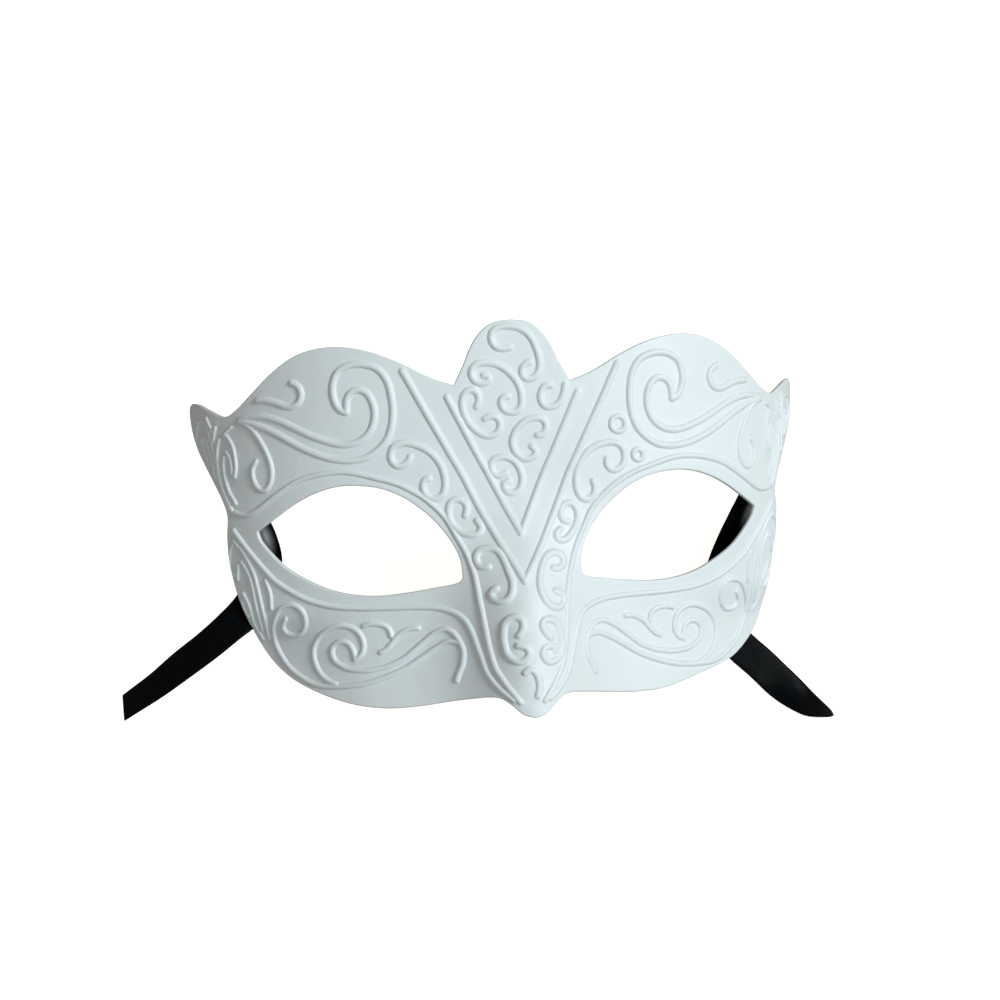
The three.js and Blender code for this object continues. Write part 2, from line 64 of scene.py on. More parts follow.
# Relief and edges, finer than in the solids
BROAD_LINE = {"half": 1.02, "height": 0.72}
SLIM_LINE = {"half": 0.82, "height": 0.66}
FINE_LINE = {"half": 0.62, "height": 0.6}
NOSE_LINE_SHIFT = 0.5  # both sides' lines beside the nose sit this far to its left
NOSE_SHIFT_START = -16  # the shift begins below this height
NOSE_SHIFT_REACH = 28  # and this near to the nose line
NOSE_SHIFT_LENGTH = 12  # and it comes in over this distance
LINE_ROUNDNESS = 0.8  # power of the section: 0.5 is half an ellipse, 1 a parabola
EDGE_ROUNDING = 0.4
EDGE_FADE = 1.6  # relief sinks into the shell over this distance from the edge

# Mesh: how densely points stand on the chart
EDGE_STEP = 0.8
LINE_STEP = 0.6
END_STEP = 0.35
RING_POINTS = 9
ACROSS_LINE = (0, 0.4, 0.7, 0.88, 0.99, 1.09, 1.25)  # rows of points beside a line, in half widths
LINE_TO_EDGE = 0.75  # the rows beside lines keep at least this far from the edges
FRONT_EDGE_ROWS = (0.12, 0.3, 0.55)  # rows of points this far inside the edges
BACK_EDGE_ROWS = (0.3, 0.9)
FRONT_CLOSEST = 0.07
BACK_CLOSEST = 0.5
FRONT_GRID = 1.5
BACK_GRID = 3
CHART_REACH = 62  # the grids cover this much above and below the middle

# Ribbons
RIBBON_WIDTH = 10
RIBBON_THICKNESS = 0.3
RIBBON_STEP = 0.7
RIBBON_COLUMNS = 15  # points across each face
RIBBON_EDGE_POWER = 6  # the faces stay flat and bend together close to the edges
RIBBON_EDGE_REST = 0.02  # share that keeps the edges from closing to nothing
LEFT_END_SLANT = 1.5
LEFT_END_REACH = 6  # the slant comes in over this length
RIGHT_TIP_LENGTH = 9  # the right ribbon narrows to its tip over this length
RIGHT_TIP_POWER = 2.2
RIGHT_TIP_LEAN = 0.55  # how far the tip leans to one edge, in half widths
RIGHT_TIP_ROUNDING = 1.6  # the very end is rounded over this length
RIGHT_TIP_BLUNT = 0.12  # share of the width that is left at the very end

# Looks of the plastic; scales count per metre, depths are in metres
PLASTIC_SHADE = (0.655, 0.73, 0.745)
PLASTIC_PALE = (0.695, 0.765, 0.775)
CLOUD_SCALE = 34
GLOSS_SCALE = 120
PLASTIC_SMOOTHEST = 0.42
PLASTIC_ROUGHEST = 0.6
PLASTIC_SPECULAR = 0.45
SKIN = {"scale": 900, "detail": 3, "strength": 0.25, "depth": 0.00012}
WAVES = {"scale": 130, "detail": 2, "strength": 0.5, "depth": 0.0004}

# Looks of the satin, on the flat ribbon
WEAVE_UNIT = 100  # millimetres in one unit of the weave's coordinates
FLOAT_SLANT = math.radians(63)
FLOAT_SCALE = 56
FLOAT_WANDER = 2.5
BREAK_SCALE = 60
BREAK_DETAIL = 3
SATIN_BLACK = (0.0005, 0.0007, 0.001)
# painted glints: a slightly lighter colour on the floats, standing in for the sheen they catch
SATIN_PAINTED_GLINT = (0.005, 0.0075, 0.0095)
# painted highlight: pale colour where each ribbon turns over, in place of the light it catches
# there
SATIN_PAINTED_HIGHLIGHT = (0.62, 0.68, 0.74)
SATIN_ROUGHNESS = 0.36
SATIN_SPECULAR = 0.04
FLOAT_RELIEF = {"strength": 0.35, "depth": 0.0001}
HIGHLIGHT_AT = 26  # the painted highlight sits this far along each ribbon
HIGHLIGHT_ASIDE = 1.9  # to the right of its middle
HIGHLIGHT_LENGTH = 8
HIGHLIGHT_WIDTH = 2.8

# Outline, as the right half has it: brow, temple edge, lower edge of each side, nose tip.
BROW_RUNS = [
    [[0, 46.5], [4.5, 45.9], [8, 43.6], [10.8, 39.8], [13, 35], [15.8, 29.7]],
    [[15.8, 29.7], [22, 32], [30, 36.3], [38, 39.7], [46, 41.5], [53, 41.5], [60, 39.8],
        [67, 36], [74, 31], [80, 27], [85, 25.5], [91, 27.6], [97, 29.8], [101.5, 30.6]],
    [[101.5, 30.6], [103.3, 29.4], [103.5, 26.5]],
]
TEMPLE_EDGE = [
    [103.5, 26.5], [102.3, 22.5], [99.5, 17.5], [95, 12], [91, 7], [87.5, 2], [85.7, -2.5],
    [86.4, -8],
]
RIGHT_JAW = [
    [86.3, -12], [85.8, -16.2], [84.6, -20], [83.3, -24.5], [82, -29.3], [80.9, -32.3],
    [79.5, -35.8], [77.6, -39.6], [74.6, -43.3], [70.2, -46.8], [64.8, -49.9], [58.7, -51.8],
    [51.1, -53.4], [44.1, -55], [37.6, -56], [31.4, -56], [25.5, -55.5], [18.5, -54.4],
    [12, -53.3],
]
LEFT_JAW = [
    [86.3, -14], [85, -20.5], [82.7, -27], [79.5, -33.2], [75.6, -39.4], [70.6, -45],
    [64.3, -49.4], [56, -52.9], [47, -55.4], [38, -56.4], [29, -55.9], [20, -54.5],
    [12, -53.3],
]
NOSE_EDGE = [
    [12, -53.3], [9.3, -53.3], [7.6, -54], [5.7, -55.4], [4.4, -56.6], [2.9, -57.7],
    [0, -58.5],
]

# Right eye hole: its upper edge from the inner to the outer corner, then back below.
EYE_RUNS = [
    [[16.3, -21.8], [16.6, -17], [18.6, -12.2], [22, -7.3], [26, -3.3], [31, 0.4], [37, 3],
        [44, 4.1], [50, 3.9], [56, 2.4], [62, -0.2], [68, -3.6], [74.3, -7.2]],
    [[74.3, -7.2], [73.2, -9.8], [70, -13.3], [65, -17.6], [59, -21], [52, -24], [45, -25.6],
        [38, -26], [30, -25.3], [23, -24.2], [17.6, -23.2], [16.3, -21.8]],
]

# Broad lines that both sides share, as the right side has them.
BROAD_LINES = {
    "outer V": [[29.3, 34], [27.2, 30], [24.7, 25], [22.1, 20], [19.5, 15], [16.9, 10], [14.3, 5],
        [12.1, 0], [9.8, -5], [7.3, -10], [4.7, -15], [1.9, -20], [0, -23.4]],
    "inner V": [[17.7, 26.5], [14.9, 20.5], [12.3, 15], [9.9, 10], [7.4, 5], [5.1, 0], [2.8, -5],
        [0, -10.9]],
    "outer brow scroll": [[78.5, 23.8], [75, 23.1], [70, 21.4], [65, 19], [60, 16.1], [55, 13.6],
        [50, 11.75], [45, 10.95], [40.5, 11.4], [37.3, 13.1], [34.9, 15.3], [33.5, 17.7],
        [32.6, 21], [32.35, 25], [33, 30], [34.25, 33], [36, 35], [38.5, 36.1], [41.5, 36.6],
        [44.3, 36.2], [46.7, 35], [48, 33], [48.6, 30], [48.2, 27.2], [47.2, 25.2], [46, 24.2],
        [45, 23.9]],
    "inner brow scroll": [[78, 24.2], [75, 24.6], [70, 24.4], [65, 23], [60, 20.6], [55, 18.1],
        [50, 16.2], [47.5, 15.5], [45, 15.3], [42, 15.9], [39.4, 17.7], [38, 20], [37.35, 22.5],
        [37.45, 25], [38.4, 27.7], [39.8, 29.2], [41.4, 29.75], [43.1, 29.3], [44.4, 28],
        [44.9, 26], [45, 24.2]],
    "brow hook": [[60.3, 32.9], [59.1, 32.3], [58.1, 31.3], [57.65, 29.8], [58, 28.2], [59.1, 27],
        [60.8, 26.5], [62.8, 26.8], [65, 27.7], [67.5, 28.5], [70, 28.9], [71.6, 29]],
}

# Slimmer lines that both sides share: at the temple, round the eye, on cheek and jaw.
SLIM_LINES = {
    "temple curl": [[78.5, 23.6], [76.5, 22.9], [74.5, 21.6], [72.7, 19.8], [70.8, 17], [69.2, 14],
        [68.2, 11], [68, 8.3], [68.7, 6], [70, 4.6], [71.6, 4.3], [73.1, 5.2], [74.2, 7],
        [74.6, 9], [74.2, 10.9], [73.1, 12.3]],
    "eye line": [[82.1, -1.4], [79.5, -2.1], [76.8, -2.2], [74.7, -1.5], [72, -0.2], [69.8, 1.1],
        [66, 3.3], [62, 5.4], [58, 6.8], [54, 7.6], [50, 8], [46, 7.9], [42, 7.1], [38, 5.9],
        [34, 4.7], [30, 2.95], [25, -0.3], [20.3, -5], [17.5, -10], [14.95, -15], [13.2, -20],
        [12.3, -24], [11.7, -28], [11, -33.5], [10.1, -40], [9, -45], [7.9, -47.3], [6.2, -50.1],
        [4.6, -52.3], [3.2, -54.2]],
    "cheek line": [[83, -6.4], [76, -14], [70, -20], [68, -21.5], [65, -23.4], [60, -25.95],
        [55, -27.65], [50, -28.65], [45, -29.05], [40, -29.25], [35, -29.3], [30, -29.3],
        [25, -29.5], [22.1, -29.9], [19.2, -30.7], [16.9, -31.9], [15.5, -33.3], [14.3, -35.6],
        [13.6, -37.7], [12.95, -40], [12.2, -42.4], [11.5, -45], [10.6, -47.4], [8.7, -50.15],
        [6.3, -52.5], [4.8, -53.8]],
    "leaf stem": [[18.7, -49], [17.9, -46.9], [17, -45], [16.5, -42.4], [16.6, -40.8],
        [17.2, -38.9], [18.2, -37.2], [19.4, -36], [20.9, -35.5], [22.6, -35.8], [24.9, -37],
        [27.2, -38.8], [30, -41.1], [32.3, -42.9], [35, -44.3], [37.8, -45.3], [40, -45.7],
        [42.5, -46.1], [46, -46], [48, -45.7], [50, -44.8], [51.75, -43.6], [52.6, -41.6],
        [52.4, -39.9], [51.3, -38.7], [49.5, -38.2], [47.7, -38.8], [46.6, -40.4], [46.1, -42.5]],
    "cheek scroll": [[46.1, -43], [44.4, -42], [43.5, -40], [43.65, -37.9], [44.6, -35.9],
        [46, -34.7], [48, -33.95], [50, -33.75], [52.6, -34.45], [54.9, -35.65], [56.7, -37.4],
        [57.9, -39.7], [58.2, -41.7], [57.9, -43.8], [57, -46], [55.6, -47.8], [53.8, -49.1],
        [51.8, -49.9]],
    "jaw scroll": [[17.3, -39.1], [19, -38.7], [20.6, -38.8], [22.2, -39.5], [24.9, -41],
        [27.2, -42.5], [30, -44.3], [32.3, -45.7], [35, -46.9], [37.8, -48], [40, -48.7],
        [42.5, -49.4], [45, -49.9], [50, -50.4], [55, -50.5], [58, -50.05], [60, -49.35],
        [62.3, -48.1], [65, -46.3], [67.1, -44.3], [68.6, -42.2], [69.6, -40.4], [70.4, -38.4],
        [70.8, -35], [70.4, -32.9], [69.6, -31], [68.2, -29], [66.4, -28], [64.2, -27.7],
        [62.4, -28.2], [60.9, -29.5], [60.1, -31.5], [60.2, -33.5], [60.9, -35], [62.2, -36.1],
        [64.3, -36.4], [66.5, -35.6], [67.4, -34], [67, -32.6], [66.4, -31.7]],
    "low sprout": [[28.5, -35], [30.6, -35.1], [32.3, -35.8], [33.9, -36.9], [35.2, -38.3],
        [36.5, -39.8], [37.9, -40.9], [38.9, -41.3]],
    "high sprout": [[35.75, -36.9], [36.2, -35.2], [37.6, -34], [39.5, -33.55], [41.3, -33.45],
        [43.2, -34]],
}

# Fine lines of the fans at temple and cheek, which both sides share.
FINE_LINES = [
    [[81.6, 22.4], [83.4, 21.5], [84.9, 20.4]],
    [[84.9, 20.4], [83.6, 19.9], [82.4, 18.5], [81.4, 16.7], [80.9, 14.4], [80.6, 12.1],
        [80.8, 10.2], [81.3, 8.5]],
    [[84.5, 15.7], [83.3, 14.6], [82.6, 12.9], [82.3, 11], [82.5, 9.5]],
    [[85.3, 14.4], [85.7, 12.1], [85.6, 9.9], [85.1, 7.6], [84.4, 5.7], [83.5, 3.8], [82.1, 2.1],
        [81.5, 1.1]],
    [[86.9, 19.4], [87.5, 18.4], [88.1, 16.7], [88.4, 14.4], [88.1, 11.8], [87.7, 9.5],
        [87.1, 7.2], [86.2, 4.9], [85, 2.6], [83.8, 0.5], [82.9, -1.2]],
    [[84.1, -0.4], [85.4, 1.9], [86.6, 4.2], [87.5, 6.4], [88.3, 8.7], [88.6, 11], [89.1, 13.3],
        [89.6, 15], [90.4, 17.5], [91.1, 19.7], [92.1, 22.2], [93.4, 24.1], [95, 25.1],
        [96.6, 25.2], [97.9, 24.2], [98.7, 22.4], [98.8, 20.1], [98.3, 18.2], [97, 16.1]],
    [[89.5, 8.7], [90.3, 11.8], [90.8, 14], [91.6, 15.9], [92.5, 18.2], [93.9, 19.9], [95, 20.7]],
    [[95.2, 20.6], [95.8, 19.4], [95.6, 17.8], [94.7, 16.6], [93.6, 15], [93.1, 13.7]],
    [[92.8, 25.7], [91.6, 23.9], [90.3, 21.7]],
    [[88.5, 22.8], [89.2, 20.9], [89.9, 18.8]],
    [[83.3, -9.4], [79.8, -12.5], [76.3, -18.6], [74.3, -27], [72.3, -37.4]],
    [[80.6, -15.2], [77.7, -19.9], [76.2, -27.2], [74.5, -34.9]],
    [[80.8, -24.3], [78.7, -27.8], [77.3, -32.8], [74.5, -37.5]],
    [[81.8, -26.4], [80.9, -29], [79, -30.9]],
    [[82, -16.1], [82.7, -20.2]],
    [[72.3, -20.6], [70.9, -24.5], [70.9, -28.6]],
    [[83.3, -10.3], [84.6, -11.2], [85.5, -13.1], [85.8, -15.8], [85.4, -17.8], [83.9, -19.3]],
]

# Lines of the viewer's left side alone, written as on the right.
LEFT_LINES = [
    [[28.3, 11], [29, 9.8], [30.4, 8.9], [32, 8.9], [33.3, 10.2], [33.5, 12.1], [32.6, 13.9],
        [30.5, 14.8], [28, 14.6], [25, 13.4], [22.3, 11.4], [20.2, 8.3], [19.3, 4.5], [19.7, 1.5],
        [20.7, 0], [22.3, -0.4], [24, 0.2], [25.1, 1.7], [25.3, 3.3], [24.7, 4.6], [23.7, 5]],
    [[14.4, -5.3], [13.9, -4], [14, -2.6], [15, -1.3], [16.6, -0.9], [18.1, -1.7], [18.8, -3.6],
        [18.7, -5.8], [17.6, -8], [15.6, -9.8], [13.2, -10.6], [11.4, -10.4], [10.5, -9.1],
        [10.7, -7.8], [11.4, -7]],
    [[9.4, -19.2], [11.2, -19.1], [12.2, -18], [12.3, -16.3], [11.4, -14.9], [9.7, -14.4],
        [7.8, -14.5], [6.3, -15.5], [5.2, -17.7], [4.3, -20.7], [3.6, -23.5], [3.9, -25.9],
        [5.1, -27.7], [6.8, -28.3], [8.5, -27.8], [9.3, -26.6], [8.8, -25.5], [7.9, -25]],
    [[3.05, -37.1], [2.1, -35.9], [1.7, -34.4], [2.1, -33], [3.4, -32.3], [5, -32.7], [6.3, -33.8],
        [6.8, -35.4], [7, -37.6], [6.8, -39.9], [6.3, -41.8], [5.1, -43.2], [3.5, -43.9],
        [1.9, -43.6], [0.8, -42.4], [0.8, -41], [1.9, -40], [3.4, -39.7]],
]

# Lines of the viewer's right side alone.
RIGHT_LINES = [
    [[20.9, 2.2], [21.3, 0.9], [21.1, -0.9], [20.1, -2.3], [18.6, -2.7], [17.2, -1.9],
        [16.3, -0.1], [16.1, 2.5], [16.6, 5.3], [17.9, 8], [20, 10.4], [22.8, 11.9], [25.8, 12.5],
        [28.3, 12.1], [29.8, 10.5], [30.1, 8.3], [29.4, 6.2], [27.7, 5], [26, 5.2], [25, 6.5],
        [25, 8]],
    [[13.1, -8.4], [12, -8], [11.3, -6.6], [11.5, -4.9], [12.5, -3.7], [14, -3.4], [15.3, -4.2],
        [16, -5.8], [15.9, -7.7], [15.2, -9.6], [14, -11.4], [12.4, -12.9], [10.8, -13.3],
        [9.7, -12.5], [9.7, -11.3], [10.8, -10.4]],
    [[7.8, -20.4], [9.1, -20.6], [10.5, -19.9], [10.9, -18.5], [10.2, -17], [8.6, -16.4],
        [7, -16.7], [5.6, -17.8], [4.5, -20], [3.7, -22.8], [3.6, -25.5], [4.6, -28.3],
        [6.3, -30.2], [8.2, -30.7], [9.8, -29.8], [10.1, -28.4], [9.2, -27.1], [7.8, -26.4]],
    [[5.3, -38.3], [4, -36.7], [3.2, -34.9], [3.7, -33.8], [5, -33.4], [6.4, -33.9], [7.5, -34.9],
        [8.2, -36.7], [8.5, -38.9], [8.6, -40.8], [8.2, -42.4], [7.2, -43.7], [5.5, -44.5],
        [3.9, -44.1], [2.9, -42.5], [3.4, -40.9], [4.8, -40.4], [6.3, -40.8], [6.4, -41.7]],
]

# Small rings, right side only: across, up, radius.
RINGS = [[28.7, 17.4, 2.1], [34.1, 8.8, 1.5]]

# The curls inside the V and the hook at the nose tip; across is negative on the left.
PANEL_LINES = [
    [[-0.3, 39], [-1.5, 38.8], [-3, 38.9], [-4.5, 39.8], [-5.2, 41.6], [-4.7, 43.4], [-3.2, 44.5],
        [-1, 44.8], [1.3, 44.5], [3.2, 43.7], [4.8, 42.5], [5.9, 41], [6.9, 38.6], [7.5, 36.3],
        [7.7, 34.6], [7.3, 32.6], [6.3, 31.1], [4.6, 30.4], [3.2, 31], [2.7, 32.4], [3.2, 33.8],
        [4.2, 34.7], [5, 35]],
    [[-7.6, 31.9], [-6.6, 31.8], [-6.1, 31], [-6.7, 30.1], [-8.4, 29.8], [-10.1, 30.6],
        [-10.9, 32.2], [-10.6, 33.8], [-9.2, 35], [-7, 35.2], [-4.5, 34.8], [-2, 33.5], [0, 31.6],
        [1.3, 29.8], [2.2, 27.3], [2.35, 25], [2, 23.1], [0.9, 21.9], [-0.8, 21.7], [-2.6, 22.6],
        [-3.3, 24.3], [-2.7, 25.7], [-1.5, 26]],
    [[-9.9, 23.6], [-9.2, 25.2], [-9.4, 26.8], [-10.3, 27.9], [-11.6, 28.1], [-13, 27.1],
        [-13.7, 25], [-13.5, 22.5], [-12.5, 20], [-10.8, 17.7], [-8.8, 16.2], [-6.7, 15.6],
        [-4.9, 16.2], [-3.85, 17.8], [-3.9, 19.5], [-5, 20.7], [-6.4, 20.9], [-7.8, 20.3]],
    [[10.2, 28.5], [9.2, 28.6], [8.1, 27.6], [7.5, 26], [7.6, 24.4], [8.5, 23.1], [9.9, 22.7],
        [11.5, 23], [12.8, 24.1], [13.6, 25.6], [14.1, 27.2], [14.3, 28.5]],
    [[6.2, 15.3], [7.4, 15.4], [8.4, 16.4], [8.7, 17.9], [8.1, 19.2], [6.5, 19.9], [4.5, 19.8],
        [2.5, 18.8], [0.7, 17.1], [-0.5, 15], [-0.7, 13], [0, 11], [1.5, 9.5], [3.4, 9], [5, 9.7],
        [5.5, 11.1], [4.5, 12.3]],
    [[-2.9, 5.4], [-4.3, 4.9], [-5.9, 5.3], [-6.8, 7], [-6.3, 8.8], [-4.6, 9.8], [-2.5, 9.7],
        [-0.6, 8.7], [0.7, 7], [1.4, 4.8], [1.3, 2.6], [0.5, 0.9], [-0.9, 0], [-2.3, 0.2],
        [-3.4, 1.3], [-3.4, 2.7], [-2.3, 3.3]],
    [[-2, -46.7], [-0.6, -46], [0.7, -46.9], [1.4, -48.8], [1.4, -51], [0.9, -52.8]],
]

# Ribbon routes: x, y, z of the middle and the roll about its length in degrees.
LEFT_ROUTE = [
    [-78.1, 26.5, 10.6, 44], [-76.6, 20.9, 11, 43], [-75.1, 15.6, 10.6, 41],
    [-73.5, 10.6, 9.5, 37], [-71.9, 6, 7.8, 31], [-70.4, 1.2, 5.7, 22], [-69.7, -3.8, 3.6, 12],
    [-70.5, -9, 1.8, 4], [-72.8, -14.2, 0.7, 0], [-76.3, -18.7, 1.0, 6], [-80.6, -22.4, 2.1, 19],
    [-86.7, -27.2, 2.5, 25], [-93.7, -32.1, 2.8, 29], [-101.1, -37.5, 3.5, 38],
    [-110.1, -43.1, 4.2, 46],
]
RIGHT_ROUTE = [
    [77.7, 27, 11.1, -44], [76.3, 21.5, 11.4, -43], [74.9, 16, 11.1, -42],
    [73.2, 10.6, 10.2, -40], [71.2, 5.4, 8.9, -36], [69, 0.4, 7.1, -28], [66.6, -5.4, 4.8, -17],
    [64, -12, 2.6, -7], [62.4, -17.4, 1.3, -2], [61.9, -22.3, 0.6, 0], [62.4, -27.2, 0.3, 0],
    [63.9, -32, 0.3, 0], [66.7, -36.4, 0.3, 0], [72.8, -42.6, 0.4, 0], [78.1, -48.4, 0.6, -2],
    [84.3, -54.5, 2.8, -31], [91.3, -59.5, 4.8, -63],
]

# Camera: where it stands in millimetres, where it looks and which way is up
CAMERA_AT = (-45.0, -46.6, 399.0)
CAMERA_LOOK = (0.1084, 0.1401, -0.9842)
CAMERA_UP = (0.0511, 0.9879, 0.1462)
CAMERA_LENS = 49.64
CAMERA_SENSOR = 36

# Studio: places and sizes in metres, power in watts
KEY_LIGHT = {"place": (0.777, 0.187, 1.07), "power": 15.1, "colour": (0.925, 1.0, 1.035)}
FILL_LIGHT = {"place": (-0.52, -0.62, 1.05), "power": 3.0, "colour": (0.8, 1.0, 1.12)}
LIGHT_SIZE = 0.45
SURROUNDINGS = (1.0, 0.79, 0.66)
SURROUNDINGS_STRENGTH = 0.235
FLOOR_COLOUR = (0.32, 0.31, 0.3)
FLOOR_ROUGHNESS = 0.7
FLOOR_GLOW = (1, 0.97, 0.93)
FLOOR_HALF = 1500  # in millimetres


# The face, wrapped from its chart


def smooth_step(value):
    value = np.clip(value, 0, 1)
    return value * value * (3 - 2 * value)


def wrap_round(across):
    """Where the chart's across lands when the face is wrapped round: sideways and back."""
    steps = 24
    length = np.abs(across)
    sideways = np.zeros_like(length)
    back = np.zeros_like(length)
    for i in range(steps):
        turn = TEMPLE_TURN * (length * (i + 0.5) / steps / HALF_ARC) ** TURN_POWER
        sideways += np.cos(turn) * length / steps
        back += np.sin(turn) * length / steps
    return np.sign(across) * sideways, back


def face_points(chart):
    across, up = chart[:, 0], chart[:, 1]
    sideways, back = wrap_round(across)
    risen = smooth_step((LOWER_START - up) / NOSE_LENGTH)
    crest = np.exp(-((across / NOSE_SPREAD) ** 2))
    fallen = smooth_step((LOWER_START - up) / CHEEK_LENGTH)
    beside = 1 - np.exp(-((across / CHEEK_REACH) ** 2))
    corner = smooth_step((CORNER_START - up) / CORNER_LENGTH)
    corner = corner * smooth_step((np.abs(across) - CORNER_INNER) / CORNER_REACH)
    corner = corner * np.where(across > 0, RIGHT_CORNER_DROP, LEFT_CORNER_DROP)
    depth = FACE_BOW * up * up - back - corner
    depth += risen * NOSE_RISE * crest - fallen * CHEEK_DROP * beside
    return np.column_stack([sideways, up, depth])


def face_normals(chart):
    small = 0.05
    right = np.array([small, 0])
    above = np.array([0, small])
    along_across = face_points(chart + right) - face_points(chart - right)
    along_up = face_points(chart + above) - face_points(chart - above)
    normals = np.cross(along_across, along_up)
    return normals / np.linalg.norm(normals, axis=1)[:, None]


def lying_points(chart, lift):
    """Points lifted off the face by lift, in the lying pose, before they are set down."""
    points = face_points(chart) + face_normals(chart) * np.reshape(lift, (-1, 1))
    cosine = math.cos(REST_TILT)
    sine = math.sin(REST_TILT)
    y = points[:, 1] * cosine - points[:, 2] * sine
    z = points[:, 1] * sine + points[:, 2] * cosine
    return np.column_stack([points[:, 0], y, z])


# Curves, outline and raised lines


def spline_through(points):
    """Dense points of the curve through the given ones."""
    samples = 30
    points = np.array(points, float)
    padded = np.vstack([points[:1], points, points[-1:]])
    t = np.linspace(0, 1, samples, endpoint=False)[:, None]
    pieces = []
    for p, q, r, s in zip(padded, padded[1:], padded[2:], padded[3:]):
        cubic = (3 * (q - r) + s - p) * t**3
        square = (2 * p - 5 * q + 4 * r - s) * t**2
        pieces.append(q + 0.5 * ((r - p) * t + square + cubic))
    return np.vstack(pieces + [points[-1:]])


def lengths_along(points):
    steps = np.linalg.norm(np.diff(points, axis=0), axis=1)
    return np.concatenate([[0], np.cumsum(steps)])


def resampled(points, step):
    along = lengths_along(points)
    count = max(2, round(along[-1] / step))
    places = np.linspace(0, along[-1], count + 1)
    return np.column_stack([np.interp(places, along, column) for column in points.T])


def mirrored(points):
    return [[-across, *rest] for across, *rest in points]


def loop_from_runs(runs):
    return np.vstack([resampled(spline_through(run), EDGE_STEP)[:-1] for run in runs])


def outline_runs(jaw):
    return [*BROW_RUNS, TEMPLE_EDGE + jaw, NOSE_EDGE]


def mask_outline():
    left_runs = [mirrored(run)[::-1] for run in reversed(outline_runs(LEFT_JAW))]
    return loop_from_runs(outline_runs(RIGHT_JAW) + left_runs)


def eye_holes():
    return [loop_from_runs(EYE_RUNS), loop_from_runs([mirrored(run) for run in EYE_RUNS])]


def on_side(side, points):
    """A shared line on one side; beside the nose both sides sit a little to its left."""
    across, up = np.array(points, float).T
    low = smooth_step((NOSE_SHIFT_START - up) / NOSE_SHIFT_LENGTH)
    shift = NOSE_LINE_SHIFT * low * smooth_step((NOSE_SHIFT_REACH - across) / NOSE_SHIFT_LENGTH)
    return np.column_stack([side * across - shift, up])


def ring_points(ring):
    across, up, radius = ring
    angles = np.linspace(0, 2 * np.pi, RING_POINTS)
    return [[across + radius * math.cos(a), up + radius * math.sin(a)] for a in angles]


def raised_lines():
    """Every raised line as the trace of its middle, with its section."""
    broad = [on_side(side, points) for points in BROAD_LINES.values() for side in (1, -1)]
    broad += [mirrored(points) for points in LEFT_LINES] + RIGHT_LINES + PANEL_LINES
    slim = [on_side(side, points) for points in SLIM_LINES.values() for side in (1, -1)]
    slim += [ring_points(ring) for ring in RINGS]
    fine = FINE_LINES + [mirrored(points) for points in FINE_LINES]
    sections = [(points, BROAD_LINE) for points in broad]
    sections += [(points, SLIM_LINE) for points in slim]
    sections += [(points, FINE_LINE) for points in fine]
    return [
        {"trace": resampled(spline_through(points), LINE_STEP), **section}
        for points, section in sections
    ]


# Relief and edges


def distance_to_trace(points, trace):
    starts = trace[:-1]
    steps = np.diff(trace, axis=0)
    offsets = points[:, None, :] - starts[None, :, :]
    shares = (offsets * steps).sum(axis=2) / (steps * steps).sum(axis=1)
    nearest = offsets - np.clip(shares, 0, 1)[:, :, None] * steps
    return np.sqrt((nearest**2).sum(axis=2).min(axis=1))


def relief_heights(chart, lines):
    heights = np.zeros(len(chart))
    for line in lines:
        low = line["trace"].min(axis=0) - line["half"]
        high = line["trace"].max(axis=0) + line["half"]
        near = np.flatnonzero(((chart > low) & (chart < high)).all(axis=1))
        if len(near):
            gaps = distance_to_trace(chart[near], line["trace"])
            share = np.clip(1 - (gaps / line["half"]) ** 2, 0, 1)
            heights[near] = np.maximum(heights[near], line["height"] * share**LINE_ROUNDNESS)
    return heights


def inside_loop(points, loop):
    inside = np.zeros(len(points), bool)
    for (ax, ay), (bx, by) in zip(loop, np.roll(loop, -1, axis=0)):
        if ay != by:
            crosses = (points[:, 1] < ay) != (points[:, 1] < by)
            at = ax + (points[:, 1] - ay) / (by - ay) * (bx - ax)
            inside ^= crosses & (points[:, 0] < at)
    return inside


def inside_loops(points, loops):
    inside = inside_loop(points, loops[0])
    for hole in loops[1:]:
        inside &= ~inside_loop(points, hole)
    return inside


def edge_distances(points, loops):
    nearest = np.full(len(points), np.inf)
    for loop in loops:
        for start, end in zip(loop, np.roll(loop, -1, axis=0)):
            step = end - start
            offset = points - start
            share = np.clip(offset @ step / (step @ step), 0, 1)
            gap = np.hypot(*(offset - share[:, None] * step).T)
            nearest = np.minimum(nearest, gap)
    return nearest


# Points and triangles on the chart


def rows_inside_edges(loops, distances):
    """Rows of points at set distances inside the edges."""
    probing = 0.1
    rows = []
    for loop in loops:
        along = np.roll(loop, -1, axis=0) - np.roll(loop, 1, axis=0)
        beside = np.column_stack([-along[:, 1], along[:, 0]])
        beside /= np.linalg.norm(beside, axis=1)[:, None]
        probe = loop + probing * beside
        turned = np.where(inside_loops(probe, loops), 1, -1)[:, None]
        rows += [loop + beside * turned * distance for distance in distances]
    return np.vstack(rows)


def round_end(middle, outward, radius):
    """Points on the half circle past the end of a line."""
    outward = outward / np.linalg.norm(outward)
    sideways = np.array([-outward[1], outward[0]])
    count = max(3, round(np.pi * radius / END_STEP))
    angles = np.linspace(-0.5 * np.pi, 0.5 * np.pi, count)[:, None]
    return middle + radius * (np.cos(angles) * outward + np.sin(angles) * sideways)


def rows_beside_lines(lines):
    rows = []
    for offset in ACROSS_LINE:
        for line in lines:
            trace = line["trace"]
            along = np.gradient(trace, axis=0)
            beside = np.column_stack([-along[:, 1], along[:, 0]])
            beside /= np.linalg.norm(beside, axis=1)[:, None]
            reach = offset * line["half"]
            rows.append(trace + reach * beside)
            if reach:
                rows.append(trace - reach * beside)
                rows += [round_end(trace[0], trace[0] - trace[1], reach),
                         round_end(trace[-1], trace[-1] - trace[-2], reach)]
    return np.vstack(rows)


